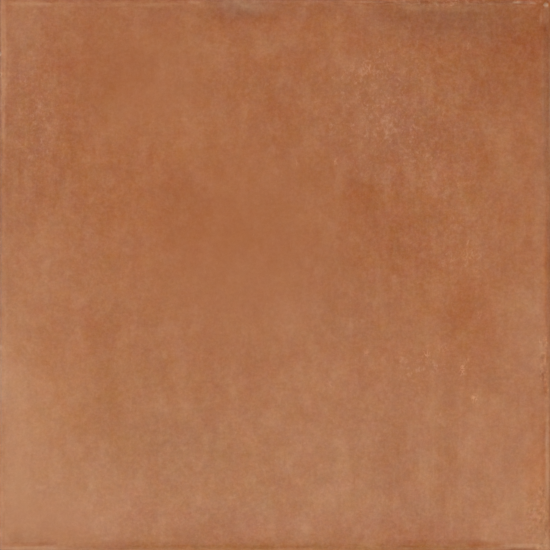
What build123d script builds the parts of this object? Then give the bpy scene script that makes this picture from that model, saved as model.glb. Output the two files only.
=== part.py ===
"""Square terracotta floor tile, dry-pressed and fired in one piece.

The frame's origin is the middle of the back, +Z points out of the walked-on face,
and the four sides are square to X and Y. All sizes are in millimetres.
"""

import os

from build123d import *

# Overall size of the face and of the fired slab
SIDE = 300.0
THICKNESS = 10.0

# Edges of the face: a soft roll, wider than it is deep, and nearly sharp plan corners
ARRIS_WIDTH = 2.6
ARRIS_DROP = 1.2
CORNER_RADIUS = 0.8

# Foot of each side, which draws in towards the back so that the tile leaves its die
FOOT_INSET = 1.0
FOOT_HEIGHT = 4.0

# Keying relief pressed into the back for the bedding mortar
RECESS_SIDE = 31.0
RECESS_DEPTH = 0.8
RECESS_CORNER_CUT = 3.0
RECESS_DRAFT_ANGLE = 40.0
RIB_WIDTH = 4.0
LEAST_BAND_WIDTH = 10.0


def pressed_section():
    """Cross-section of the slab on XZ: drafted foot, upright joint face and rolled arris."""
    half_side = SIDE / 2
    half_foot = half_side - FOOT_INSET
    shoulder = THICKNESS - ARRIS_DROP
    with BuildSketch(Plane.XZ) as section:
        with BuildLine():
            Line((0, 0), (half_foot, 0))
            Line((half_foot, 0), (half_side, FOOT_HEIGHT))
            Line((half_side, FOOT_HEIGHT), (half_side, shoulder))
            EllipticalCenterArc((half_side - ARRIS_WIDTH, shoulder), ARRIS_WIDTH, ARRIS_DROP)
            Line((half_side - ARRIS_WIDTH, THICKNESS), (0, THICKNESS))
            mirror(about=Plane.YZ)
        make_face()
    return section.sketch


def pressed_slab():
    """The same section run along both sides of the square, so that the arrises mitre at the corners."""
    along_y = extrude(pressed_section(), amount=SIDE / 2, both=True)
    along_x = along_y.rotate(Axis.Z, 90)
    plan = extrude(RectangleRounded(SIDE, SIDE, CORNER_RADIUS), amount=THICKNESS)
    return along_x & along_y & plan


def keying_recesses():
    """Shallow drafted squares with cut corners, as many as fit inside the plain band round the back."""
    pitch = RECESS_SIDE + RIB_WIDTH
    foot_side = SIDE - 2 * FOOT_INSET
    count = int((foot_side - 2 * LEAST_BAND_WIDTH + RIB_WIDTH) // pitch)
    mouth = chamfer(Rectangle(RECESS_SIDE, RECESS_SIDE).vertices(), RECESS_CORNER_CUT)
    recess = extrude(mouth, amount=RECESS_DEPTH, taper=RECESS_DRAFT_ANGLE)
    return [place * recess for place in GridLocations(pitch, pitch, count, count)]


square_tile = pressed_slab() - keying_recesses()

os.makedirs("parts", exist_ok=True)
export_step(square_tile, "parts/square_tile.step")
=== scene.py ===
import math

import bmesh
import bpy
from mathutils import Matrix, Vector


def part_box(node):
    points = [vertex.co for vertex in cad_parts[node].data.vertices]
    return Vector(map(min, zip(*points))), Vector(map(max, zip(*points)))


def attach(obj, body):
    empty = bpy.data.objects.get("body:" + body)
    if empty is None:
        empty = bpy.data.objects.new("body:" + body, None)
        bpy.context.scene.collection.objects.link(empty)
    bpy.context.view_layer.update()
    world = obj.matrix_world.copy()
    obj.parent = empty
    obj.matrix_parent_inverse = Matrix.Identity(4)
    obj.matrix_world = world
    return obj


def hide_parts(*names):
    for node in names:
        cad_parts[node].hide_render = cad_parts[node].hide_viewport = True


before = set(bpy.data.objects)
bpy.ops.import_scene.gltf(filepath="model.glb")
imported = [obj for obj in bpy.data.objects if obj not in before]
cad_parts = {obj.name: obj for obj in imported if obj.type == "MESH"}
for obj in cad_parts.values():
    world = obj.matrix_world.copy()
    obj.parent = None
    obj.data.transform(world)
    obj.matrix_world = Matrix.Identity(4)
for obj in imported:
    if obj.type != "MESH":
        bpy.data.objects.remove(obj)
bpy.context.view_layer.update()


# The pressed slab
# One charge of damp red clay dust, pressed face up in a square steel die and fired hard.
# The die gives every side the same section: a rolled arris, an upright joint face, a drawn-in foot.
MM = 0.001
tile_low, tile_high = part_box("square_tile")
HALF_SIDE = (tile_high[0] - tile_low[0]) / 2
THICKNESS = tile_high[2] - tile_low[2]
ARRIS_WIDTH = 2.6 * MM
ARRIS_DROP = 1.2 * MM
OUTER_CORNER = 0.8 * MM
FIELD_CORNER = 5.0 * MM
FIELD_INSET = 12.0 * MM
FOOT_INSET = 1.0 * MM
FOOT_HEIGHT = 4.0 * MM
FOOT_EASE = 0.25 * MM
FOOT_LIP = 0.05 * MM
BAND_INSET = 10.0 * MM
WELD = 0.002 * MM

# How finely the section is divided, and how many points of a side each kind of loop keeps
MARGIN_STEPS = 9
ARRIS_STEPS = 10
JOINT_FACE_STEPS = 4
FOOT_SHARES = (0.35, 0.7)
RIM_POINTS = 320
FIELD_POINTS = 160
BAND_POINTS = 80
EVENLY = 0.0
SIDES = 4

GEOMETRY = "NodeSocketGeometry"
NUMBER = "NodeSocketFloat"
COUNT = "NodeSocketInt"
VECTOR = "NodeSocketVector"
COLOUR = "NodeSocketColor"
MATERIAL = "NodeSocketMaterial"
SECTION_INPUTS = {"Section": GEOMETRY, "Half Side": NUMBER, "Points Per Side": COUNT, "Weld": NUMBER}


def put(tree, kind, feeds=None, **options):
    """Adds a node, sets its options, and fills its inputs with plain values or with links."""
    node = tree.nodes.new(kind)
    for option, value in options.items():
        setattr(node, option, value)
    for key, feed in (feeds or {}).items():
        if isinstance(feed, bpy.types.NodeSocket):
            tree.links.new(feed, node.inputs[key])
        else:
            node.inputs[key].default_value = feed
    return node


def calc(tree, operation, *terms, **options):
    """One Math node over numbers or sockets."""
    return put(tree, "ShaderNodeMath", dict(enumerate(terms)), operation=operation, **options).outputs[0]


def times(tree, first, second):
    """One number or socket times another."""
    return calc(tree, "MULTIPLY", first, second)


def plus(tree, total, part, strength):
    """A total with a part added to it at a strength, each of them a number or a socket."""
    return calc(tree, "MULTIPLY_ADD", part, strength, total)


def vector(tree, operation, *terms):
    """One Vector Math node over vectors or sockets. Single numbers come out of its second socket."""
    node = put(tree, "ShaderNodeVectorMath", dict(enumerate(terms)), operation=operation)
    return node.outputs[1 if operation in {"LENGTH", "DOT_PRODUCT"} else 0]


def scaled(tree, source, factor):
    """A vector times one number or socket."""
    return put(tree, "ShaderNodeVectorMath", {0: source, "Scale": factor}, operation="SCALE").outputs[0]


def axes(tree, source):
    """The X, Y and Z sockets of a vector."""
    return put(tree, "ShaderNodeSeparateXYZ", {0: source}).outputs


def combined(tree, x=0.0, y=0.0, z=0.0):
    """A vector from three numbers or sockets."""
    return put(tree, "ShaderNodeCombineXYZ", {0: x, 1: y, 2: z}).outputs[0]


def position(tree):
    """The place of each point of whatever geometry the tree is working on."""
    return put(tree, "GeometryNodeInputPosition").outputs[0]


def named(tree, label, kind="FLOAT_VECTOR"):
    """A named attribute of whatever geometry the tree is working on."""
    return put(tree, "GeometryNodeInputNamedAttribute", {"Name": label}, data_type=kind).outputs[0]


def sampled(tree, geometry, value, index, kind="FLOAT_VECTOR"):
    """The value that one numbered point of a geometry has."""
    feeds = {"Geometry": geometry, "Value": value, "Index": index}
    return put(tree, "GeometryNodeSampleIndex", feeds, data_type=kind, domain="POINT").outputs[0]


def point_count(tree, geometry):
    """How many points a geometry has."""
    return put(tree, "GeometryNodeAttributeDomainSize", {"Geometry": geometry}).outputs["Point Count"]


def welded(tree, geometry, distance):
    """Geometry with the points that fall together made one."""
    return put(tree, "GeometryNodeMergeByDistance", {"Geometry": geometry, "Distance": distance}).outputs[0]


def realized(tree, geometry):
    """Geometry with its instances made real."""
    return put(tree, "GeometryNodeRealizeInstances", {"Geometry": geometry}).outputs[0]


def covered(tree, geometry, material, selection=True):
    """Geometry with a material on the selected faces."""
    feeds = {"Geometry": geometry, "Selection": selection, "Material": material}
    return put(tree, "GeometryNodeSetMaterial", feeds).outputs[0]


def new_tree(name, inputs, outputs, kind="GeometryNodeTree"):
    """An empty node group, the sockets that its named inputs come out of, and those its outputs go into."""
    tree = bpy.data.node_groups.new(name, kind)
    for label, socket_type in inputs.items():
        tree.interface.new_socket(name=label, in_out="INPUT", socket_type=socket_type)
    for label, socket_type in outputs.items():
        tree.interface.new_socket(name=label, in_out="OUTPUT", socket_type=socket_type)
    return tree, tree.nodes.new("NodeGroupInput").outputs, tree.nodes.new("NodeGroupOutput").inputs


def on_rounded_square(tree, across, half, corner):
    """A point of the side that faces -Y, with the square's corners rounded to a radius."""
    on_square = combined(tree, times(tree, across, half), times(tree, half, -1.0))
    limit = calc(tree, "SUBTRACT", half, corner)
    upper = combined(tree, limit, limit)
    lower = scaled(tree, upper, -1.0)
    centre = vector(tree, "MAXIMUM", vector(tree, "MINIMUM", on_square, upper), lower)
    outwards = vector(tree, "NORMALIZE", vector(tree, "SUBTRACT", on_square, centre))
    return vector(tree, "ADD", centre, scaled(tree, outwards, corner))


def section_round_square():
    """The rule of the slab: each point of a drawn section becomes one loop round a square.

    A section point's x is its inset from the side and its z its height. Its attributes give the loop's
    corner radius, how many points of each side it keeps, and how far they crowd towards the corners.
    The loops start as the rows of a grid, which is one unit long for each side and one unit high.
    """
    tree, given, result = new_tree("section_round_square", SECTION_INPUTS, {"Mesh": GEOMETRY})
    loops = point_count(tree, given["Section"])
    around = plus(tree, 1.0, given["Points Per Side"], SIDES)
    feeds = {"Size X": SIDES, "Size Y": 1.0, "Vertices X": around, "Vertices Y": loops}
    grid = put(tree, "GeometryNodeMeshGrid", feeds).outputs["Mesh"]
    at = axes(tree, position(tree))
    row = times(tree, calc(tree, "ADD", at["Y"], 0.5), calc(tree, "SUBTRACT", loops, 1.0))
    row = calc(tree, "ROUND", row)
    drawn = axes(tree, sampled(tree, given["Section"], position(tree), row))
    corner, kept, crowd = (
        sampled(tree, given["Section"], named(tree, label, "FLOAT"), row, "FLOAT")
        for label in ("corner", "kept", "crowd")
    )

    step = calc(tree, "ROUND", times(tree, calc(tree, "ADD", at["X"], SIDES / 2), kept))
    turn = calc(tree, "DIVIDE", step, kept)
    side = calc(tree, "MINIMUM", calc(tree, "FLOOR", turn), SIDES - 1)
    across = plus(tree, -1.0, calc(tree, "SUBTRACT", turn, side), 2.0)
    to_corner = calc(tree, "SUBTRACT", 1.0, calc(tree, "ABSOLUTE", across))
    eased = calc(tree, "SUBTRACT", 1.0, calc(tree, "POWER", to_corner, calc(tree, "ADD", crowd, 1.0)))
    across = times(tree, eased, calc(tree, "SIGN", across))

    half = calc(tree, "SUBTRACT", given["Half Side"], drawn["X"])
    rounded = on_rounded_square(tree, across, half, corner)
    quarter = times(tree, side, 2 * math.pi / SIDES)
    feeds = {"Vector": rounded, "Angle": quarter}
    turned = put(tree, "ShaderNodeVectorRotate", feeds, rotation_type="Z_AXIS").outputs[0]
    place = vector(tree, "ADD", turned, combined(tree, z=drawn["Z"]))
    shaped = put(tree, "GeometryNodeSetPosition", {"Geometry": grid, "Position": place}).outputs[0]
    tree.links.new(welded(tree, shaped, given["Weld"]), result["Mesh"])
    return tree


run_section = section_round_square()


def run_round(tree, given):
    """The section that a tree is given, run round its square."""
    feeds = {label: given[label] for label in SECTION_INPUTS}
    return put(tree, "GeometryNodeGroup", feeds, node_tree=run_section).outputs["Mesh"]


def square_grid(tree, side, lines):
    """A flat square grid round the origin, with as many lines one way as the other."""
    feeds = {"Size X": side, "Size Y": side, "Vertices X": lines, "Vertices Y": lines}
    return put(tree, "GeometryNodeMeshGrid", feeds).outputs["Mesh"]


def stood(name, content):
    """A mesh, light or camera as an object of its own in the scene."""
    piece = bpy.data.objects.new(name, content)
    bpy.context.scene.collection.objects.link(piece)
    return piece


def loose_points(name, places, **layers):
    """An object of loose points, with a value or a vector for each point in each named attribute."""
    mesh = bpy.data.meshes.new(name)
    mesh.from_pydata(places, [], [])
    for label, values in layers.items():
        is_vector = isinstance(values[0], tuple)
        layer = mesh.attributes.new(label, "FLOAT_VECTOR" if is_vector else "FLOAT", "POINT")
        for point, value in zip(layer.data, values):
            setattr(point, "vector" if is_vector else "value", value)
    return stood(name, mesh)


def section_drawing(name, section):
    """The points of a section, each (inset, height, corner radius, points kept, crowding)."""
    insets, heights, corners, kept, crowds = zip(*section)
    places = [(inset, 0, height) for inset, height in zip(insets, heights)]
    return loose_points(name, places, corner=corners, kept=kept, crowd=crowds)


def made_by(drawing, tree, **sizes):
    """The plain mesh that a tree makes from a drawing; the drawing and its modifier are then removed."""
    modifier = drawing.modifiers.new(tree.name, "NODES")
    modifier.node_group = tree
    for item in tree.interface.items_tree:
        label = item.name.lower().replace(" ", "_")
        if item.in_out == "INPUT" and label in sizes:
            modifier[item.identifier] = sizes[label]
    evaluated = drawing.evaluated_get(bpy.context.evaluated_depsgraph_get())
    mesh = bpy.data.meshes.new_from_object(evaluated)
    drawing.modifiers.remove(modifier)
    bpy.data.objects.remove(drawing)
    return mesh


def rim_section():
    """From the flat field of the face, over the arris and down the side, to the back's plain band."""
    outline = []
    for step in range(1, MARGIN_STEPS):
        share = (1 - step / MARGIN_STEPS) ** 2
        inset = ARRIS_WIDTH + (FIELD_INSET - ARRIS_WIDTH) * share
        outline.append((inset, THICKNESS, FIELD_CORNER * (1 - share)))
    for step in range(ARRIS_STEPS + 1):
        angle = math.pi / 2 * (1 - step / ARRIS_STEPS)
        inset = ARRIS_WIDTH * (1 - math.cos(angle))
        height = THICKNESS - ARRIS_DROP * (1 - math.sin(angle))
        corner = OUTER_CORNER + (FIELD_CORNER - OUTER_CORNER) * inset / ARRIS_WIDTH
        outline.append((inset, height, corner))
    shoulder = THICKNESS - ARRIS_DROP
    for step in range(1, JOINT_FACE_STEPS + 1):
        height = shoulder + step / JOINT_FACE_STEPS * (FOOT_HEIGHT - shoulder)
        outline.append((0.0, height, OUTER_CORNER))
    for share in FOOT_SHARES:
        outline.append((FOOT_INSET * share, FOOT_HEIGHT * (1 - share), OUTER_CORNER))
    outline.append((FOOT_INSET - FOOT_LIP, FOOT_EASE, OUTER_CORNER))
    outline.append((FOOT_INSET + FOOT_EASE, 0.0, OUTER_CORNER))
    outline.append((BAND_INSET / 2, 0.0, OUTER_CORNER))
    field_edge = (FIELD_INSET, THICKNESS, 0.0, FIELD_POINTS, EVENLY)
    band_edge = (BAND_INSET, 0.0, 0.0, BAND_POINTS, EVENLY)
    return [field_edge, *((*point, RIM_POINTS, EVENLY) for point in outline), band_edge]


def pressed_slab():
    """The section run round the square, with an even field of faces closing the walked-on side."""
    own_inputs = {"Field Inset": NUMBER, "Field Points": COUNT, "Thickness": NUMBER, "Material": MATERIAL}
    tree, given, result = new_tree("pressed_slab", {**SECTION_INPUTS, **own_inputs}, {"Slab": GEOMETRY})
    field_side = times(tree, calc(tree, "SUBTRACT", given["Half Side"], given["Field Inset"]), 2.0)
    field = square_grid(tree, field_side, calc(tree, "ADD", given["Field Points"], 1.0))
    feeds = {"Geometry": field, "Translation": combined(tree, z=given["Thickness"])}
    lifted = put(tree, "GeometryNodeTransform", feeds).outputs[0]
    both = put(tree, "GeometryNodeJoinGeometry")
    for source in (run_round(tree, given), lifted):
        tree.links.new(source, both.inputs[0])
    real = realized(tree, welded(tree, both.outputs[0], given["Weld"]))
    tree.links.new(covered(tree, real, given["Material"]), result["Slab"])
    return tree


# The bare body: its colour, the ways its colour drifts, and how strong each drift is
BODY_RED = (0.355, 0.150, 0.076)
CHALK_LIFT = (0.69, 0.60, 0.40)
RUST_LIFT = (0.69, -0.38, -0.62)
BODY_CLOUD_SIZE = 16.0 * MM
BODY_RUST_SIZE = 27.2 * MM
BODY_GRAIN_SIZE = 0.9 * MM
BODY_CLOUD_CHALK = 0.20
BODY_GRAIN_CHALK = 0.10
BODY_RUST = 0.05
BODY_ROUGHNESS = 0.80
ROUGHNESS_SPREAD = 0.25

# Crushed grog: which cells hold a grain, how crisp its outline is, and how pale or dark it turns
GROG_SIZE = 1.7 * MM
GROG_CHOSEN = (0.55, 0.65)
GROG_OUTLINE = (0.42, 0.22)
GROG_TINT_START = -4.5
GROG_TINT_SPREAD = 6.0
GROG_CHALK = 0.035
GROG_HEIGHT = -0.5
SEED_STEP = 7.3
NOISE_MIDDLE = 0.5


def noise(tree, where, size, detail=2.0, roughness=0.5, seed=0):
    """Noise with features of one size, centred on zero. The seed moves it to another slice."""
    feeds = {
        "Vector": vector(tree, "ADD", where, (0.0, 0.0, seed * size * SEED_STEP)),
        "Scale": 1.0 / size,
        "Detail": detail,
        "Roughness": roughness,
    }
    return calc(tree, "SUBTRACT", put(tree, "ShaderNodeTexNoise", feeds).outputs[0], NOISE_MIDDLE)


def between(tree, value, start, end, low=0.0, high=1.0):
    """A smooth step from low to high as a value goes from start to end."""
    feeds = {"Value": value, "From Min": start, "From Max": end, "To Min": low, "To Max": high}
    return put(tree, "ShaderNodeMapRange", feeds, interpolation_type="SMOOTHSTEP").outputs[0]


def tinted(tree, colour, lift, amount):
    """A colour moved along a lift by an amount that changes over the surface."""
    return vector(tree, "ADD", colour, scaled(tree, lift, amount))


def fired_body():
    """The body under the slip: uneven red clay with crushed grog, and the open grain of pressed dust."""
    looks = {"Colour": COLOUR, "Roughness": NUMBER, "Height": NUMBER}
    tree, given, result = new_tree("fired_body", {"Place": VECTOR}, looks, "ShaderNodeTree")
    place = given["Place"]
    cloud = noise(tree, place, BODY_CLOUD_SIZE, detail=4.0, roughness=0.65, seed=1)
    rusty = noise(tree, place, BODY_RUST_SIZE, detail=3.0, roughness=0.6, seed=2)
    grain = noise(tree, place, BODY_GRAIN_SIZE, detail=2.0, roughness=0.7, seed=3)
    cells = put(tree, "ShaderNodeTexVoronoi", {"Vector": place, "Scale": 1.0 / GROG_SIZE}).outputs
    shade = axes(tree, cells["Color"])["X"]
    chosen = between(tree, shade, *GROG_CHOSEN)
    grog = times(tree, between(tree, cells["Distance"], *GROG_OUTLINE), chosen)
    tint = plus(tree, GROG_TINT_START, shade, GROG_TINT_SPREAD)
    chalk = times(tree, cloud, BODY_CLOUD_CHALK)
    chalk = plus(tree, chalk, grain, BODY_GRAIN_CHALK)
    chalk = plus(tree, chalk, times(tree, grog, tint), GROG_CHALK)
    colour = tinted(tree, BODY_RED, CHALK_LIFT, chalk)
    colour = tinted(tree, colour, RUST_LIFT, times(tree, rusty, BODY_RUST))
    height = plus(tree, calc(tree, "ADD", grain, cloud), grog, GROG_HEIGHT)
    tree.links.new(colour, result["Colour"])
    tree.links.new(plus(tree, BODY_ROUGHNESS, grain, ROUGHNESS_SPREAD), result["Roughness"])
    tree.links.new(height, result["Height"])
    return tree


body_look = fired_body()


def new_finish(name):
    """A new material, its tree and its shader."""
    material = bpy.data.materials.new(name)
    material.use_nodes = True
    tree = material.node_tree
    return material, tree, tree.nodes["Principled BSDF"]


def own_place(tree):
    """The Object coordinates of the piece that a finish covers."""
    return put(tree, "ShaderNodeTexCoord").outputs["Object"]


def bare_body(tree, place):
    """The outputs of the fired body at a place: its colour, roughness and height."""
    return put(tree, "ShaderNodeGroup", {"Place": place}, node_tree=body_look).outputs


CLAY_SPECULAR = 0.08


def dress(tree, shader, colour, roughness, height, depth):
    """Gives a shader its colour, roughness and relief, with the faint sheen of unglazed clay."""
    bump = put(tree, "ShaderNodeBump", {"Strength": 1.0, "Distance": depth, "Height": height})
    tree.links.new(colour, shader.inputs["Base Color"])
    tree.links.new(roughness, shader.inputs["Roughness"])
    tree.links.new(bump.outputs[0], shader.inputs["Normal"])
    shader.inputs["Specular IOR Level"].default_value = CLAY_SPECULAR


# Pale rub from the kiln shelf, on what lies within a hair of the back's lowest plane
SHELF_RUB_SIZE = 6.0 * MM
SHELF_RUB_EDGES = (-0.12, 0.2)
SHELF_RUB_HEIGHTS = (0.5 * MM, 0.02 * MM)
SHELF_RUB_CHALK = 0.07
PRESS_GRAIN_DEPTH = 0.10 * MM


def clay_finish():
    """The finish of the back and the foot: the body itself, rubbed paler where it stood on the shelf."""
    material, tree, shader = new_finish("bare_fired_clay")
    place = own_place(tree)
    body = bare_body(tree, place)
    rubbed = noise(tree, place, SHELF_RUB_SIZE, detail=4.0, roughness=0.7, seed=5)
    rubbed = between(tree, rubbed, *SHELF_RUB_EDGES)
    dusty = times(tree, rubbed, between(tree, axes(tree, place)["Z"], *SHELF_RUB_HEIGHTS))
    colour = tinted(tree, body["Colour"], CHALK_LIFT, times(tree, dusty, SHELF_RUB_CHALK))
    dress(tree, shader, colour, body["Roughness"], body["Height"], PRESS_GRAIN_DEPTH)
    return material


bare_clay = clay_finish()
slab_mesh = made_by(
    section_drawing("rim_section", rim_section()),
    pressed_slab(),
    half_side=HALF_SIDE,
    points_per_side=RIM_POINTS,
    weld=WELD,
    field_inset=FIELD_INSET,
    field_points=FIELD_POINTS,
    thickness=THICKNESS,
    material=bare_clay,
)


# The keyed back
# Shallow drafted squares between low ribs, pressed by the die's lower punch.
# Mortar fills them when the tile is bedded, and the ribs and the plain band carry it until then.
RECESS_SIDE = 31.0 * MM
RIB_WIDTH = 4.0 * MM
RECESS_DEPTH = 0.8 * MM
RECESS_DRAFT = 0.67 * MM
RECESS_CORNER = 4.5 * MM
RECESS_EASE = 0.2 * MM
LIP_INSET = 0.4 * RECESS_EASE
LIP_DROP = 0.5 * RECESS_EASE
CELL_COUNT = 8
CELL_POINTS = BAND_POINTS // CELL_COUNT
CORNER_CROWD = 1.0


def recess_section():
    """One keying cell, from the middle of its rib down the drafted wall to the middle of its floor."""
    rib = RIB_WIDTH / 2
    half_cell = rib + RECESS_SIDE / 2
    wall = [
        (rib - RECESS_EASE, 0.0),
        (rib + LIP_INSET, LIP_DROP),
        (rib + RECESS_DRAFT - LIP_INSET, RECESS_DEPTH - LIP_DROP),
        (rib + RECESS_DRAFT + RECESS_EASE, RECESS_DEPTH),
    ]
    points = [(0.0, 0.0, 0.0, CELL_POINTS, EVENLY)]
    for inset, height in wall:
        points.append((inset, height, RECESS_CORNER - (inset - rib), CELL_POINTS, CORNER_CROWD))
    points.append((half_cell, RECESS_DEPTH, 0.0, CELL_POINTS, EVENLY))
    return points


def keyed_back():
    """One cell of the relief, repeated over the back on an even grid."""
    own_inputs = {"Cells": COUNT, "Material": MATERIAL}
    tree, given, result = new_tree("keyed_back", {**SECTION_INPUTS, **own_inputs}, {"Back": GEOMETRY})
    pitch = times(tree, given["Half Side"], 2.0)
    reach = times(tree, pitch, calc(tree, "SUBTRACT", given["Cells"], 1.0))
    middles = square_grid(tree, reach, given["Cells"])
    feeds = {"Points": middles, "Instance": run_round(tree, given)}
    cells = put(tree, "GeometryNodeInstanceOnPoints", feeds).outputs[0]
    joined = welded(tree, realized(tree, cells), given["Weld"])
    tree.links.new(covered(tree, joined, given["Material"]), result["Back"])
    return tree


back_mesh = made_by(
    section_drawing("recess_section", recess_section()),
    keyed_back(),
    half_side=(RECESS_SIDE + RIB_WIDTH) / 2,
    points_per_side=CELL_POINTS,
    weld=WELD,
    cells=CELL_COUNT,
    material=bare_clay,
)


def one_body(name, *meshes):
    """Welds meshes that meet edge to edge into one closed body with its faces turned outwards."""
    body = bmesh.new()
    for mesh in meshes:
        body.from_mesh(mesh)
        bpy.data.meshes.remove(mesh)
    bmesh.ops.remove_doubles(body, verts=body.verts, dist=WELD)
    bmesh.ops.recalc_face_normals(body, faces=body.faces)
    for part in (*body.edges, *body.faces):
        part.smooth = True
    joined = bpy.data.meshes.new(name)
    body.to_mesh(joined)
    body.free()
    return joined


body_mesh = one_body("pressed_body", slab_mesh, back_mesh)


# The brushed face
# A thin coloured slip, brushed on and fired with the body. The brush ran up and down the tile.
# It came out chalky where it lay thick, burnt at the top corner, and rust red along the lower edge.
SLIP_ORANGE = (0.4180, 0.1686, 0.0775)
OLIVE_LIFT = (-0.22, 0.70, -0.68)
MARK_LIFT = (0.83, 0.47, 0.31)
ALL_HEIGHTS = 1.0
RIM_REACH_DOWN = 2.4 * MM
THOUSANDTH = 0.001

OBJECT = "NodeSocketObject"
WORD = "NodeSocketString"

# Each row below: x and y of the middle and the reach along x and y in millimetres, then a strength
# in thousandths. Chalk rows above zero are paler and below zero more burnt.
CHALK_MM = (
    # bloom down the left side and in the lower left corner
    (-147, -90, 33, 104, 60),
    (-106, -124, 44, 33, 44),
    (-88, -122, 14, 30, 20),
    (-116, -108, 12, 16, 16),
    (-138, 106, 25, 71, 30),
    (-128, 10, 40, 55, 52),
    (-123, -66, 40, 68, 34),
    (-55, 85, 62, 42, 18),
    (-136, 138, 22, 18, 38),
    (-82, 5, 28, 52, 13),
    (-145, -50, 16, 48, 24),
    (-135, 90, 14, 22, -24),
    (-140, -22, 14, 14, 14),
    (-105, -54, 18, 14, 15),
    # burnt corner at the upper right and burnt stretches along the upper edge
    (142, 135, 65, 28, -75),
    (82, 139, 55, 15, -60),
    (118, 110, 42, 34, -34),
    (78, 124, 28, 14, -30),
    (129, 144, 12, 6, -24),
    (142, 112, 19, 27, -22),
    (-22, 140, 33, 7, -45),
    (30, 143, 25, 6, -25),
    (-90, 109, 38, 24, -28),
    (0, 93, 25, 33, -12),
    (14, 146, 165, 12, -20),
    # dark rounds near the middle
    (-53, 41, 26, 26, -22),
    (-27, 22, 49, 27, -12),
    (49, 45, 16, 23, -34),
    (60, 15, 38, 26, -20),
    (104, -26, 16, 23, -36),
    (113, -53, 23, 20, -14),
    # worn pale places in the upper right
    (41, 115, 14, 11, 25),
    (59, 90, 10, 25, 20),
    (106, 25, 26, 32, 26),
    (34, 102, 9, 9, 18),
    (-61, 7, 9, 9, 18),
    (125, -5, 22, 27, 15),
    # lower half: pale drifts between darker brush strokes
    (-50, -51, 7, 19, 26),
    (10, -24, 18, 20, 24),
    (14, -60, 38, 19, 18),
    (19, -90, 25, 20, 20),
    (32, -119, 32, 22, 20),
    (65, -95, 13, 38, -24),
    (93, -90, 11, 34, -18),
    (74, -115, 44, 41, -18),
    (109, -85, 17, 38, 18),
    (82, -112, 10, 27, 18),
    (-62, -94, 20, 22, -34),
    (-7, -47, 8, 18, 15),
    (-90, -68, 15, 25, -30),
    (-37, -79, 13, 33, -14),
    (-93, -33, 27, 25, -14),
    (-22, -49, 33, 27, -16),
    (-95, -98, 25, 25, -14),
    (-63, -60, 14, 16, -18),
    # burnt strip along the lower edge
    (3, -147, 131, 12, -42),
    (74, -145, 44, 11, -18),
    (-28, -138, 28, 18, -20),
    (80, -136, 40, 18, -20),
    (14, -137, 17, 14, 32),
    (142, -145, 14, 11, 30),
    (-139, -143.5, 9, 5, -34),
    # right side
    (138, -30, 17, 34, 46),
    (136, -128, 19, 31, 12),
    (139, -79, 13, 27, -14),
    (144, 35, 14, 27, 26),
    (128, 56, 20, 20, 14),
    (143, -43, 8, 14, 14),
)
RUST_MM = (
    (-62, 50, 85, 80, 8),
    (102, -24, 32, 44, 10),
    (-116, -62, 26, 62, 11),
    (141, -108, 9, 37, 32),
    (116, -82, 14, 22, 7),
    (62, 85, 55, 50, -14),
    (-136, 85, 28, 70, -9),
    (-135, 135, 30, 30, -7),
    (-53, 41, 26, 26, -6),
    (35, -20, 42, 38, -7),
    (-52, -92, 46, 32, -9),
    (48, -95, 62, 45, -5),
    (-22, -130, 34, 14, -6),
    (70, -130, 34, 14, -7),
    # smoke along the upper edge and down the sides
    (-20, 146, 24, 13, -32),
    (66, 132, 28, 20, -11),
    (104, 138, 62, 18, -36),
    (125, 110, 40, 40, -10),
    (14, 146, 175, 11, -16),
    (146, 60, 8, 95, -12),
    (139, -30, 16, 40, -7),
    (-147, -14, 8, 160, -8),
)
OLIVE_MM = (
    (-90, -75, 60, 50, 3.5),
    (-20, -105, 50, 25, 3.0),
    (110, 130, 60, 40, 1.8),
    (95, 143, 62, 11, 5.0),
    (-130, 120, 40, 50, -2.2),
    (0, -136, 240, 12, -5.0),
    (130, -80, 40, 70, -2.0),
    (55, -55, 25, 18, -3.0),
)

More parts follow.
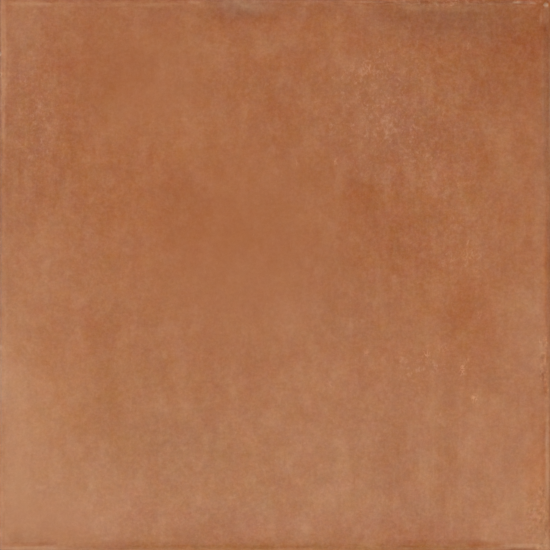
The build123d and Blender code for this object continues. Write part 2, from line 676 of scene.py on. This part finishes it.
# Rim rows: narrow marks along the edges, drawn on a steadier place than the clouds of the field.
# Besides wear and smoke they hold painted light: the pale arrises on the left and upper edges are partly
# painted highlight, the darker strips on the right and lower edges are partly painted shade, and along the
# lower edge a paler, warmer outermost line is painted to offset the shade that the arris gets there.
RIM_CHALK_AND_LIGHT_MM = (
    # left: a dark outermost line, a pale arris of wear and painted highlight, and three bright nicks
    (-149.5, 0, 1.0, 300, -52),
    (-148.6, -110, 3.0, 60, -22),
    (-147.5, 125, 1.7, 82, 72),
    (-147.0, -5, 1.4, 90, 26),
    (-149.3, 120.2, 0.9, 1.5, 170),
    (-149.0, 109.2, 0.9, 2.0, 110),
    (-149.2, -39.5, 0.9, 2.0, 80),
    # upper edge: a dark outermost line, a pale arris, partly painted highlight, that fades to the right,
    # fine brush lines, pale flecks
    (0, 149.5, 300, 0.9, -36),
    (-90, 149.0, 75, 1.3, -26),
    (95, 148.3, 60, 1.0, -44),
    (-134, 147.3, 18, 1.3, 50),
    (-95, 147.0, 60, 1.5, 28),
    (-44, 148.0, 4.0, 1.0, 55),
    (-60, 146.5, 12, 2.0, 26),
    (-16, 146.4, 4.0, 2.0, 36),
    (50, 148.3, 13, 0.5, 40),
    (50, 147.4, 13, 0.5, -40),
    (50, 146.7, 13, 0.4, 28),
    (90, 144.9, 28, 2.4, 34),
    (87, 147.8, 2.4, 1.2, 60),
    (104, 148.0, 1.5, 1.0, 70),
    (117, 147.6, 2.0, 1.0, 55),
    (131.2, 148.1, 3.0, 0.9, 150),
    (140.2, 147.6, 2.2, 0.8, 130),
    (147.3, 146.8, 1.7, 1.5, 180),
    (149.3, 149.3, 1.2, 1.2, 60),
    (133.5, 146.0, 11, 0.6, 75),
    (144.8, 140.0, 0.8, 6.0, 85),
    (147.8, 142.0, 2.6, 7.0, 45),
    # right: a smoky strip darkened further with painted shade, a flaked place and a cream arris below it
    (149.6, 97, 0.9, 60, 45),
    (147.4, 97, 2.0, 62, -40),
    (147.9, 57, 1.2, 50, -18),
    (148.0, 2, 2.2, 44, -36),
    (144.0, 8, 4.0, 48, 18),
    (144.4, -41, 1.6, 6.5, 60),
    (148.0, -44, 1.0, 4.0, -50),
    (147.9, -37, 0.9, 0.9, 110),
    (144.4, -51, 0.9, 3.0, 60),
    (143.8, -61, 0.9, 1.3, 55),
    (145.6, -55.5, 1.2, 2.4, -55),
    (146.9, -61.5, 1.4, 5.5, -60),
    (148.1, -97, 1.2, 32, 70),
    (145.6, -97, 1.4, 44, -26),
    (149.3, -133, 0.9, 18, -40),
    # lower edge: a rust band that is partly painted shade, a pale outermost line painted to offset the
    # arris's shade, a pale start at the left and a cream end at the right
    (-132, -148.9, 22, 1.8, 85),
    (-134, -146.2, 20, 1.6, -48),
    (-131, -144.6, 20, 3.0, -22),
    (-25, -149.6, 150, 0.9, 60),
    (0, -147.5, 122, 1.5, -30),
    (-78, -146.8, 44, 3.0, -40),
    (0, -146.4, 55, 2.6, -26),
    (95, -146.2, 50, 3.4, -42),
    (113, -146.8, 12, 2.4, -40),
    (136, -147.0, 17, 1.4, 75),
    (133, -149.3, 16, 0.8, -45),
    (-141, -143.0, 5.0, 2.6, -20),
)
RIM_RUST_AND_LIGHT_MM = (
    # smoke and wear along the edges; the right side's strip is partly painted shade, and the lower edge's
    # outermost line is painted warmer to offset the arris's cool shade
    (-149.8, 0, 1.9, 400, -42),
    (-149.6, -112, 1.6, 48, 30),
    (0, 149.8, 400, 1.9, -20),
    (95, 148.0, 65, 2.2, -14),
    (95, 149.5, 60, 1.2, 16),
    (147.4, 97, 3.0, 62, -22),
    (148.4, 2, 1.4, 44, -12),
    (146.5, 3, 2.0, 38, 10),
    (147.0, -61, 1.2, 6.5, 4),
    (147.6, -95.5, 1.4, 30, -8),
    (147.3, 146.8, 1.7, 1.5, -60),
    (135, 148.0, 8.0, 1.0, -25),
    (-137, -143, 10, 4.0, -12),
    (-149.3, 120.2, 0.9, 1.5, -50),
    (0, -149.7, 170, 1.3, 26),
    (113, -146.8, 12, 2.4, 10),
    (136, -147.0, 17, 1.4, -8),
)
RIM_OLIVE_MM = (
    (20, -148.0, 140, 3.0, 6),
    (147.4, 97, 2.4, 62, 3),
    (146.0, -129, 4.0, 14, 6),
)
# Single flaked spots, too fine for the slab's points and so drawn by the finish itself.
SPOT_MM = (
    (50.0, -43.0, 2.8, 4.4, 120),
    (82.0, -43.0, 3.6, 4.2, 170),
    (91.0, -40.0, 5.0, 3.4, 90),
    (101.5, -51.0, 2.8, 4.6, 200),
    (104.5, -46.5, 2.0, 2.4, 130),
    (29.2, -59.8, 3.4, 3.0, 100),
    (108.5, -67.0, 3.0, 3.6, 190),
    (111.0, -22.0, 1.8, 4.5, 100),
    (105.0, 124.0, 1.4, 5.0, 90),
    (75.3, 80.2, 1.5, 2.4, 150),
    (85.2, 62.0, 1.7, 3.4, 150),
    (33.2, 61.5, 2.4, 3.4, 110),
    (91.5, 45.5, 3.0, 2.8, 130),
    (99.4, 49.1, 1.6, 3.4, 100),
    (12.0, 61.0, 1.2, 3.4, 90),
    (105.0, 11.0, 6.0, 7.0, 90),
    (49.0, 112.0, 5.5, 3.0, 100),
    (62.0, 113.0, 4.0, 3.4, 80),
)
# Zones: how busy the fine mottling is, where pale flecks lie, and where brush streaks show.
BUSY_MM = (
    (-17, 17, 85, 80, -600),
    (-72, 108, 56, 48, -500),
    (-140, -115, 13, 40, -400),
    (-122, -133, 36, 22, -450),
    (-128, 85, 32, 75, 280),
    (87, 63, 45, 105, 350),
    (0, -130, 190, 60, 150),
    (140, -132, 9.0, 19, 900),
)
FLECK_MM = (
    (60, 90, 58, 70, 1000),
    (105, 20, 40, 55, 700),
    (-130, 85, 28, 70, 850),
    (-20, 108, 30, 18, 500),
    (50, 112, 16, 9, 450),
    (84, -50, 46, 22, 800),
    (85, 150, 80, 8.0, 900),
    (0, -100, 190, 70, 250),
)
STREAK_MM = (
    (92, -102, 62, 62, 900),
    (-132, 70, 28, 90, 800),
    (60, 25, 60, 110, 500),
)


def patch_points(name, *layers, height=0.0, reach_z=ALL_HEIGHTS):
    """Loose points for soft patches: each layer's rows put their strengths on that axis of one vector."""
    places, reaches, strengths = [], [], []
    for axis, rows in enumerate(layers):
        for x, y, reach_x, reach_y, thousandths in rows:
            strength = [0.0, 0.0, 0.0]
            strength[axis] = thousandths * THOUSANDTH
            places.append((x * MM, y * MM, height))
            reaches.append((reach_x * MM, reach_y * MM, reach_z))
            strengths.append(tuple(strength))
    return loose_points(name, places, reach=reaches, strength=strengths)


def points_of(tree, holder):
    """The loose points of an object that a tree is given."""
    return put(tree, "GeometryNodeObjectInfo", {"Object": holder}).outputs["Geometry"]


def kept_as(tree, geometry, label, value, kind="FLOAT_VECTOR"):
    """Geometry with a value kept on its points as a named attribute."""
    feeds = {"Geometry": geometry, "Name": label, "Value": value}
    return put(tree, "GeometryNodeStoreNamedAttribute", feeds, data_type=kind, domain="POINT").outputs[0]


def patches_on():
    """Adds ovals to one layer of the slab, patch by patch: full in the middle, nothing past the reach.

    A crispness of 1 fades evenly from the middle; more than 1 keeps the middle flat and the rim narrow.
    """
    inputs = {"Slab": GEOMETRY, "Patches": OBJECT, "Place": WORD, "Layer": WORD, "Crispness": NUMBER}
    tree, given, result = new_tree("patches_on", inputs, {"Slab": GEOMETRY})
    patches = points_of(tree, given["Patches"])
    first = put(tree, "GeometryNodeRepeatInput")
    last = put(tree, "GeometryNodeRepeatOutput")
    first.pair_with_output(last)
    tree.links.new(point_count(tree, patches), first.inputs["Iterations"])
    tree.links.new(given["Slab"], first.inputs["Geometry"])
    middle, reach, strength = (
        sampled(tree, patches, value, first.outputs["Iteration"])
        for value in (position(tree), named(tree, "reach"), named(tree, "strength"))
    )
    from_middle = vector(tree, "SUBTRACT", named(tree, given["Place"]), middle)
    away = vector(tree, "DIVIDE", from_middle, reach)
    left = calc(tree, "SUBTRACT", 1.0, vector(tree, "DOT_PRODUCT", away, away), use_clamp=True)
    oval = calc(tree, "MULTIPLY", times(tree, left, left), given["Crispness"], use_clamp=True)
    layered = vector(tree, "ADD", named(tree, given["Layer"]), scaled(tree, strength, oval))
    grown = kept_as(tree, first.outputs["Geometry"], given["Layer"], layered)
    tree.links.new(grown, last.inputs["Geometry"])
    tree.links.new(last.outputs["Geometry"], result["Slab"])
    return tree


add_patches = patches_on()

# Drifts: the size of the noise that moves a patch about, and how far it moves it
WIDE_DRIFT = (33.0 * MM, 14.0 * MM)
CLOSE_DRIFT = (7.0 * MM, 8.0 * MM)
RIM_DRIFT = (4.0 * MM, 0.9 * MM)

# Falls: where on the face a tone starts to change and where it stops, and its amounts there
CHALK_FALL = (41.0 * MM, -134.0 * MM, -0.028, 0.050)
RUST_FALL = (14.0 * MM, -134.0 * MM, 0.003, -0.006)

# How busy, flecked and streaky the slip is before its zones are added, and how crisp its patches are
BRUSH_ALL_OVER = (1.0, 0.0, 0.4)
CLOUD_CRISPNESS = 1.0
RIM_CRISPNESS = 2.5


def drifted(tree, place, size, amount, seed):
    """A place moved about by noise, so that what is drawn on it gets a ragged outline."""
    slice_place = vector(tree, "ADD", place, (0.0, 0.0, seed * size * SEED_STEP))
    feeds = {"Vector": slice_place, "Scale": 1.0 / size, "Detail": 3.0}
    cloud = put(tree, "ShaderNodeTexNoise", feeds).outputs["Color"]
    centred = vector(tree, "SUBTRACT", cloud, (NOISE_MIDDLE,) * 3)
    return vector(tree, "MULTIPLY_ADD", centred, (amount, amount, 0.0), place)


def slip_layout():
    """Lays the slip out on the slab's points.

    The layer "slip" holds its chalk, rust and olive, the painted highlight and shade of the rim rows
    included, and "brush" how busy, flecked and streaky it is.
    """
    inputs = {"Slab": GEOMETRY, "Clouds": OBJECT, "Rims": OBJECT, "Zones": OBJECT, "Material": MATERIAL}
    tree, given, result = new_tree("slip_layout", inputs, {"Slab": GEOMETRY})
    place = position(tree)
    up = axes(tree, place)["Y"]
    start = {
        "cloudy": drifted(tree, drifted(tree, place, *WIDE_DRIFT, seed=1), *CLOSE_DRIFT, seed=2),
        "steady": drifted(tree, place, *RIM_DRIFT, seed=3),
        "slip": combined(tree, between(tree, up, *CHALK_FALL), between(tree, up, *RUST_FALL)),
        "brush": combined(tree, *BRUSH_ALL_OVER),
    }
    slab = given["Slab"]
    for label, value in start.items():
        slab = kept_as(tree, slab, label, value)
    for patches, drawn_on, layer, crispness in (
        ("Clouds", "cloudy", "slip", CLOUD_CRISPNESS),
        ("Rims", "steady", "slip", RIM_CRISPNESS),
        ("Zones", "cloudy", "brush", CLOUD_CRISPNESS),
    ):
        feeds = {"Slab": slab, "Patches": given[patches], "Crispness": crispness}
        feeds.update({"Place": drawn_on, "Layer": layer})
        slab = put(tree, "GeometryNodeGroup", feeds, node_tree=add_patches).outputs["Slab"]
    for spent in ("cloudy", "steady"):
        slab = put(tree, "GeometryNodeRemoveAttribute", {"Geometry": slab, "Name": spent}).outputs[0]
    tree.links.new(covered(tree, realized(tree, slab), given["Material"]), result["Slab"])
    return tree


# The noise of each kind of mark: its size in millimetres, its scale across and along the brush,
# its detail and roughness, and the seed of its slice.
MARK_NOISE = {
    "blotch": (13.0, 1.0, 0.6, 4.0, 0.75, 4),
    "drip": (7.0, 1.0, 0.12, 3.0, 0.65, 5),
    "mottle": (6.0, 1.0, 1.0, 4.0, 0.9, 6),
    "rusting": (12.0, 1.0, 1.0, 5.0, 0.85, 7),
    "greening": (12.0, 1.0, 1.0, 5.0, 0.85, 8),
    "streak": (3.0, 1.0, 0.12, 3.0, 0.8, 9),
    "sand": (0.9, 0.9, 1.0, 1.0, 0.8, 10),
    "flake": (2.0, 1.0, 0.8, 2.0, 0.75, 11),
    "clump": (8.0, 1.0, 0.55, 3.0, 0.7, 12),
    "stipple": (1.9, 0.9, 1.0, 2.0, 0.7, 13),
    "run": (3.0, 1.0, 0.12, 4.0, 0.6, 14),
    "speck": (0.8, 1.0, 0.6, 1.0, 0.5, 15),
    "tick": (1.2, 1.5, 0.25, 1.0, 0.5, 16),
    "crag": (2.4, 1.0, 0.7, 2.0, 0.6, 17),
    "curl": (2.6, 1.0, 0.65, 2.0, 0.6, 18),
    "crackle": (1.9, 1.0, 0.7, 1.0, 0.6, 20),
}


def slip_face(tree):
    """All that varies over the face, by name: its place, what the layout left on it, and each noise."""

    def left_on(label):
        """One layer of the layout."""
        return put(tree, "ShaderNodeAttribute", attribute_name=label).outputs

    place = own_place(tree)
    face = {"place": place, "bared": left_on("bared")["Fac"]}
    face["chalk"], face["rust"], face["olive"] = axes(tree, left_on("slip")["Vector"])
    face["busy"], face["flecked"], face["streaky"] = axes(tree, left_on("brush")["Vector"])
    for name, (size, across, along, detail, roughness, seed) in MARK_NOISE.items():
        brushed = vector(tree, "MULTIPLY", place, (across, along, 1.0))
        face[name] = noise(tree, brushed, size * MM, detail, roughness, seed)
    return face


# Flecks: how far their clumps and zones push them, and between which amounts each kind shows
CLUMP_SHARE = 0.75
FLECKED_PUSH = 0.26
FLECK_EDGES = (0.18, 0.50)
SPECK_PUSH = 0.09
SPECK_EDGES = (0.20, 0.28)
TICK_PUSH = 0.05
TICK_EDGES = (0.23, 0.30)
TICK_SHARE = 0.6
CURL_EDGES = (0.06, 0.0)


def flecks(tree, face):
    """Pale flakes where the slip wore thin, and the brightest specks, ticks and curls among them."""
    flaking = plus(tree, face["flake"], face["clump"], CLUMP_SHARE)
    flaking = plus(tree, flaking, face["flecked"], FLECKED_PUSH)
    fleck = between(tree, flaking, *FLECK_EDGES)
    fleck = times(tree, fleck, fleck)
    speck = between(tree, plus(tree, face["speck"], face["flecked"], SPECK_PUSH), *SPECK_EDGES)
    tick = between(tree, plus(tree, face["tick"], face["streaky"], TICK_PUSH), *TICK_EDGES)
    curl = times(tree, between(tree, calc(tree, "ABSOLUTE", face["curl"]), *CURL_EDGES), fleck)
    return fleck, calc(tree, "ADD", plus(tree, speck, tick, TICK_SHARE), curl)


SPOT_EDGES = (1.0, 0.2)


def flaked_spots(tree, place):
    """The single flaked spots, each full in its middle and gone at its reach."""
    spots = 0.0
    for x, y, reach_x, reach_y, thousandths in SPOT_MM:
        from_middle = vector(tree, "SUBTRACT", place, (x * MM, y * MM, THICKNESS))
        away = vector(tree, "DIVIDE", from_middle, (reach_x * MM, reach_y * MM, ALL_HEIGHTS))
        spot = between(tree, vector(tree, "LENGTH", away), *SPOT_EDGES)
        spots = plus(tree, spots, spot, thousandths * THOUSANDTH)
    return spots


# Rub marks: the strip they lie in, how wide and how drawn out they are, and what flecked slip adds.
# The place along a side is x plus y times the slant, which changes along all four sides.
RUB_STRIP = 6.0 * MM
RUB_SIZE = 1.3 * MM
RUB_STRETCH = 0.22
RUB_SLANT = 1.13
RUB_FLECKED = 1.5


def off_middle(tree, at):
    """How far a place lies from the tile's middle, square to the nearest side."""
    return calc(tree, "MAXIMUM", calc(tree, "ABSOLUTE", at["X"]), calc(tree, "ABSOLUTE", at["Y"]))


def rubbed_arris(tree, at, flecked):
    """Rub marks drawn out along the arrises, stronger where the slip is flecked."""
    outwards = off_middle(tree, at)
    strip = between(tree, outwards, HALF_SIDE - RUB_STRIP, HALF_SIDE - ARRIS_WIDTH)
    along = plus(tree, at["X"], at["Y"], RUB_SLANT)
    edgewise = combined(tree, times(tree, along, RUB_STRETCH), outwards)
    rubbed = times(tree, noise(tree, edgewise, RUB_SIZE, detail=3.0, roughness=0.7, seed=19), strip)
    return times(tree, rubbed, plus(tree, 1.0, flecked, RUB_FLECKED))


# The broad tones: the edges and amounts of the blotches, and the strength of each mark in each tone
BLOTCH_EDGES = (-0.08, 0.22)
BLOTCH_TONES = (-0.4, 0.6)
BLOTCH_CHALK = 0.050
STREAK_SHARE = 0.7
STROKE_CHALK = 0.085
FLECK_CHALK = 0.052
FLECKED_CHALK = -0.009
RUSTING = 0.09
FLECK_RUST = -0.006
GREENING = 0.05
FLECK_OLIVE = -0.003


def broad_tones(tree, face, fleck):
    """The chalk, rust and olive of the slip, with its blotches, brush strokes and flecks."""
    blotch = between(tree, face["blotch"], *BLOTCH_EDGES, *BLOTCH_TONES)
    strokes = plus(tree, face["drip"], face["streak"], STREAK_SHARE)
    broad = times(tree, blotch, BLOTCH_CHALK)
    broad = plus(tree, broad, times(tree, strokes, face["streaky"]), STROKE_CHALK)
    chalk = plus(tree, face["chalk"], broad, face["busy"])
    chalk = plus(tree, chalk, fleck, FLECK_CHALK)
    chalk = plus(tree, chalk, face["flecked"], FLECKED_CHALK)
    rust = plus(tree, face["rust"], times(tree, face["rusting"], face["busy"]), RUSTING)
    rust = plus(tree, rust, fleck, FLECK_RUST)
    olive = plus(tree, face["olive"], times(tree, face["greening"], face["busy"]), GREENING)
    olive = plus(tree, olive, fleck, FLECK_OLIVE)
    return chalk, rust, olive


# The fine marks: how far pale peaks stand out, the strength of each mark, and the ridges in flaked spots
PEAKS = 2.0
FLECKED_PEAKS = 5.0
MOTTLE_MARK = 0.22
FLECK_MARK = 0.042
BRIGHT_MARK = 0.058
SAND_MARK = 0.055
RUB_MARK = 0.16
CRACKLE_EDGES = (0.08, 0.01)


def fine_marks(tree, face, mottle, fleck, bright):
    """The warm fine marks over the tones: mottling, flecks, flaked spots, sand and rubbed arrises."""
    lively = times(tree, mottle, MOTTLE_MARK)
    peaks = plus(tree, PEAKS, face["flecked"], FLECKED_PEAKS)
    lively = times(tree, lively, plus(tree, 1.0, lively, peaks))
    ridges = between(tree, calc(tree, "ABSOLUTE", face["crackle"]), *CRACKLE_EDGES)
    marks = times(tree, lively, face["busy"])
    marks = plus(tree, marks, fleck, FLECK_MARK)
    marks = plus(tree, marks, bright, BRIGHT_MARK)
    marks = plus(tree, marks, flaked_spots(tree, face["place"]), ridges)
    marks = plus(tree, marks, times(tree, face["sand"], face["busy"]), SAND_MARK)
    rubbed = rubbed_arris(tree, axes(tree, face["place"]), face["flecked"])
    return plus(tree, marks, rubbed, RUB_MARK)


# Where the slip thins out down the sides, and how far its runs go up and down from there
RUN_START = 2.2 * MM
RUN_END = 3.4 * MM
RUN_LENGTH = 4.0 * MM

# Broken places: between which amounts they show, and how much their crags change painted shade, chalk and
# height.
# The colour follows the crags' relief, darker in their hollows and paler on their tops: painted shade and
# highlight.
BROKEN_EDGES = (0.25, 0.45)
CRAG_PAINTED_SHADE = 0.8
CRAG_CHALK = 0.18
CRAG_HEIGHT = 2.0

# The rest of the slip's surface: the stipple in its mottling, its flecks, and how rough and deep it is
STIPPLE_EDGES = (-0.07, 0.10)
STIPPLE_TONES = (-0.10, 0.14)
STIPPLE_SHARE = 0.5
FLECK_HEIGHT = 0.3
SLIP_ROUGHNESS = 0.72
SLIP_RELIEF = 0.05 * MM


def mixed(tree, share, first, second):
    """One colour giving way to another as a share goes from 0 to 1."""
    feeds = {"Factor": share, "A": first, "B": second}
    return put(tree, "ShaderNodeMix", feeds, data_type="RGBA").outputs["Result"]


def slip_finish():
    """The finish of the walked-on face and the arris, thinning to the bare body down the joint faces."""
    material, tree, shader = new_finish("brushed_terracotta_face")
    face = slip_face(tree)
    crag = face["crag"]
    stipple = between(tree, face["stipple"], *STIPPLE_EDGES, *STIPPLE_TONES)
    mottle = plus(tree, face["mottle"], stipple, STIPPLE_SHARE)
    fleck, bright = flecks(tree, face)
    chalk, rust, olive = broad_tones(tree, face, fleck)
    marks = fine_marks(tree, face, mottle, fleck, bright)
    colour = SLIP_ORANGE
    for lift, amount in ((CHALK_LIFT, chalk), (RUST_LIFT, rust), (OLIVE_LIFT, olive), (MARK_LIFT, marks)):
        colour = tinted(tree, colour, lift, amount)

    runs = plus(tree, axes(tree, face["place"])["Z"], face["run"], RUN_LENGTH)
    bare = between(tree, runs, THICKNESS - RUN_START, THICKNESS - RUN_END)
    shown = mixed(tree, bare, colour, bare_body(tree, face["place"])["Colour"])
    broken = between(tree, calc(tree, "ADD", face["bared"], crag), *BROKEN_EDGES)
    # painted shade and highlight: the broken colour is scaled darker where the crags sink and paler where
    # they rise, then lifted towards chalk on the rises
    painted_crags = scaled(tree, shown, plus(tree, 1.0, crag, CRAG_PAINTED_SHADE))
    painted_crags = tinted(tree, painted_crags, CHALK_LIFT, times(tree, crag, CRAG_CHALK))
    shown = mixed(tree, broken, shown, painted_crags)

    roughness = calc(tree, "ADD", calc(tree, "ADD", chalk, marks), SLIP_ROUGHNESS)
    roughness = plus(tree, roughness, face["sand"], ROUGHNESS_SPREAD)
    height = plus(tree, calc(tree, "ADD", face["sand"], mottle), fleck, FLECK_HEIGHT)
    height = plus(tree, height, times(tree, crag, broken), CRAG_HEIGHT)
    dress(tree, shader, shown, roughness, height, SLIP_RELIEF)
    return material


face_slip = slip_finish()
# the rim rows carry painted highlight and shade along the arrises besides their wear and smoke
rims = (RIM_CHALK_AND_LIGHT_MM, RIM_RUST_AND_LIGHT_MM, RIM_OLIVE_MM)
layout_points = {
    "clouds": patch_points("slip_clouds", CHALK_MM, RUST_MM, OLIVE_MM),
    "rims": patch_points("slip_rims", *rims, height=THICKNESS, reach_z=RIM_REACH_DOWN),
    "zones": patch_points("slip_zones", BUSY_MM, FLECK_MM, STREAK_MM),
}
pressed_body = stood("pressed_body", body_mesh)
slipped_mesh = made_by(pressed_body, slip_layout(), material=bare_clay, **layout_points)
for points in layout_points.values():
    bpy.data.objects.remove(points)


# Wear of the edges
# Fired clay is brittle: stacking and handling rub the arrises uneven and knock small flakes out of them.
# The knocks that can be told apart are placed one by one, and the rest is an even scatter.
WEAR_DEPTH = 4.0 * MM
RIPPLE = 0.10 * MM
RIPPLE_SIZE = 14.0 * MM
NICK = 0.35 * MM
NICK_SIZE = 2.6 * MM
NICK_EDGES = (0.16, 0.28)
NICK_SPREAD = 9 * NICK_SIZE
NICK_SPREAD_EDGES = (0.0, 0.2)
SAG = 0.05 * MM
SAG_SIZE = 70.0 * MM
FACE_DEPTH = 0.5 * MM
SLOW_EDGES = (-0.25, 0.25)
CHIP_RAGGED = 1.4
CHIP_EDGES = (1.0, 0.45)
WEAR_SEED = 4
CHIPS_MM = (
    # x and y of the middle, half widths along x, y and z, and depth
    (145.9, -37.0, 2.6, 4.5, 2.5, 0.20),
    (145.6, -46.0, 2.6, 5.0, 2.5, 0.25),
    (145.8, -54.0, 2.8, 5.0, 2.5, 0.35),
    (147.0, -62.0, 2.0, 6.0, 3.0, 0.42),
    (147.9, 147.4, 1.8, 1.6, 2.4, 0.45),
    (131.0, 149.6, 2.4, 1.5, 2.0, 0.36),
    (140.5, 149.3, 2.0, 1.4, 2.0, 0.34),
    (-149.9, 120.6, 1.6, 1.8, 2.4, 0.48),
    (-149.9, 109.2, 1.4, 1.5, 2.2, 0.36),
    (144.8, -120.0, 3.4, 7.0, 2.0, 0.12),
    (145.4, -131.0, 4.2, 8.0, 2.0, 0.18),
    (147.6, -139.0, 2.4, 6.0, 3.0, 0.30),
    (144.5, -147.6, 5.0, 2.4, 3.0, 0.25),
)


def chip_points():
    """One loose point for each chip, with its half widths and depth."""
    height = THICKNESS - ARRIS_DROP / 2
    places = [(x * MM, y * MM, height) for x, y, *_ in CHIPS_MM]
    reaches = [(wide * MM, long * MM, deep * MM) for _, _, wide, long, deep, _ in CHIPS_MM]
    depths = [depth * MM for *_, depth in CHIPS_MM]
    return loose_points("edge_chips", places, reach=reaches, depth=depths)


def chipped_out(tree, place, holder):
    """How far inside the nearest chip's ragged outline a place lies, and how deep that chip is."""
    chips = points_of(tree, holder)
    nearest = put(tree, "GeometryNodeSampleNearest", {"Geometry": chips}).outputs[0]
    middle = sampled(tree, chips, position(tree), nearest)
    reach = sampled(tree, chips, named(tree, "reach"), nearest)
    depth = sampled(tree, chips, named(tree, "depth", "FLOAT"), nearest, "FLOAT")
    away = vector(tree, "DIVIDE", vector(tree, "SUBTRACT", place, middle), reach)
    uneven = noise(tree, place, NICK_SIZE, detail=3.0, roughness=0.7, seed=WEAR_SEED + 4)
    ragged = plus(tree, vector(tree, "LENGTH", away), uneven, CHIP_RAGGED)
    return between(tree, ragged, *CHIP_EDGES), depth


def edge_wear():
    """Presses the surface in, never out: a slow sag, a ripple and nicks at the arris, and the chips."""
    sizes = ("Half Side", "Thickness", "Wear Depth", "Ripple", "Nick", "Sag", "Slip Line")
    inputs = {"Slab": GEOMETRY, **dict.fromkeys(sizes, NUMBER), "Chips": OBJECT}
    inputs.update({"Face Material": MATERIAL, "Clay Material": MATERIAL})
    tree, given, result = new_tree("edge_wear", inputs, {"Worn": GEOMETRY})
    place = position(tree)
    at = axes(tree, place)
    inset = calc(tree, "SUBTRACT", given["Half Side"], off_middle(tree, at))
    below = calc(tree, "SUBTRACT", given["Thickness"], at["Z"])
    edge = between(tree, calc(tree, "ADD", inset, below), given["Wear Depth"], 0.0)
    face = between(tree, below, FACE_DEPTH, 0.0)
    ripple = between(tree, noise(tree, place, RIPPLE_SIZE, detail=3.0, seed=WEAR_SEED), *SLOW_EDGES)
    nick = between(tree, noise(tree, place, NICK_SIZE, detail=1.0, seed=WEAR_SEED + 1), *NICK_EDGES)
    spread = noise(tree, place, NICK_SPREAD, detail=1.0, seed=WEAR_SEED + 2)
    nick = times(tree, nick, between(tree, spread, *NICK_SPREAD_EDGES))
    sag = between(tree, noise(tree, place, SAG_SIZE, detail=2.0, seed=WEAR_SEED + 3), *SLOW_EDGES)
    chipped, chip_depth = chipped_out(tree, place, given["Chips"])
    nicked = times(tree, nick, edge)
    depth = times(tree, times(tree, ripple, edge), given["Ripple"])
    depth = plus(tree, depth, nicked, given["Nick"])
    depth = plus(tree, depth, times(tree, sag, face), given["Sag"])
    depth = plus(tree, depth, chipped, chip_depth)

    marked = kept_as(tree, given["Slab"], "bared", calc(tree, "MAXIMUM", chipped, nicked), "FLOAT")
    normal = put(tree, "GeometryNodeInputNormal").outputs[0]
    feeds = {"Geometry": marked, "Offset": scaled(tree, normal, times(tree, depth, -1.0))}
    worn = put(tree, "GeometryNodeSetPosition", feeds).outputs[0]
    clay = covered(tree, realized(tree, worn), given["Clay Material"])
    above = calc(tree, "GREATER_THAN", at["Z"], given["Slip Line"])
    tree.links.new(covered(tree, clay, given["Face Material"], above), result["Worn"])
    return tree


chips = chip_points()
tile_mesh = made_by(
    stood("slipped_body", slipped_mesh),
    edge_wear(),
    half_side=HALF_SIDE,
    thickness=THICKNESS,
    wear_depth=WEAR_DEPTH,
    ripple=RIPPLE,
    nick=NICK,
    sag=SAG,
    slip_line=FOOT_HEIGHT - FOOT_EASE,
    chips=chips,
    face_material=face_slip,
    clay_material=bare_clay,
)
bpy.data.objects.remove(chips)
tile_mesh.name = "worn_square_tile"
tile = stood("worn_square_tile", tile_mesh)
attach(tile, "root")
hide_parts("square_tile")


# Floor, light and camera
# A plain pale studio floor under the tile, one broad soft light from the upper left and an even sky.
# The camera looks straight down through a long lens, with the tile's outline on the picture's edge.
FLOOR_HALF = 3.0
FLOOR_GAP = 0.1 * MM
FLOOR_LAP = 1.0 * MM
FLOOR_GREY = (0.72, 0.71, 0.69, 1.0)
FLOOR_ROUGHNESS = 0.8
SKY_WHITE = (1.0, 1.0, 1.0, 1.0)
SKY_STRENGTH = 0.60
KEY_STRENGTH = 1.78
KEY_SPREAD = math.radians(50)
KEY_FROM = (-0.5, 0.5, 0.707)
LENS = 200.0
SENSOR = 36.0
NEAREST_SEEN = 0.05
FARTHEST_SEEN = 50.0
FRAME_CROP = 0.5 * MM


def studio_floor():
    """A wide pale sheet just under the tile, seen from above only, and open where the tile covers it.

    The opening lets the sky light the back, so that it shows its relief when it is looked at from below.
    """
    turns = ((-1, -1), (1, -1), (1, 1), (-1, 1))
    height = tile_low[2] - FLOOR_GAP
    halves = (FLOOR_HALF, HALF_SIDE - FOOT_INSET - FLOOR_LAP)
    places = [(x * half, y * half, height) for half in halves for x, y in turns]
    faces = [(side, (side + 1) % SIDES, (side + 1) % SIDES + SIDES, side + SIDES) for side in range(SIDES)]
    mesh = bpy.data.meshes.new("studio_floor")
    mesh.from_pydata(places, [], faces)
    paint, tree, shader = new_finish("pale_floor")
    shader.inputs["Base Color"].default_value = FLOOR_GREY
    shader.inputs["Roughness"].default_value = FLOOR_ROUGHNESS
    under = put(tree, "ShaderNodeNewGeometry").outputs["Backfacing"]
    clear = put(tree, "ShaderNodeBsdfTransparent").outputs[0]
    either = put(tree, "ShaderNodeMixShader", {0: under, 1: shader.outputs[0], 2: clear})
    tree.links.new(either.outputs[0], tree.nodes["Material Output"].inputs["Surface"])
    mesh.materials.append(paint)
    return stood("studio_floor", mesh)


floor = studio_floor()

sky = bpy.data.worlds.new("even_studio_sky")
sky.use_nodes = True
sky.node_tree.nodes["Background"].inputs["Color"].default_value = SKY_WHITE
sky.node_tree.nodes["Background"].inputs["Strength"].default_value = SKY_STRENGTH
bpy.context.scene.world = sky

key = bpy.data.lights.new("broad_key", "SUN")
key.energy = KEY_STRENGTH
key.angle = KEY_SPREAD
key_light = stood("broad_key", key)
key_light.location = KEY_FROM
key_light.rotation_euler = (-key_light.location).to_track_quat("-Z", "Y").to_euler()

lens = bpy.data.cameras.new("straight_down")
lens.lens = LENS
lens.sensor_width = SENSOR
lens.sensor_fit = "HORIZONTAL"
lens.clip_start = NEAREST_SEEN
lens.clip_end = FARTHEST_SEEN
camera = stood("straight_down", lens)
outline_height = THICKNESS - ARRIS_DROP
camera.location = (0.0, 0.0, outline_height + (HALF_SIDE - FRAME_CROP) * 2 * LENS / SENSOR)
bpy.context.scene.camera = camera
bpy.context.scene.view_settings.view_transform = "Standard"
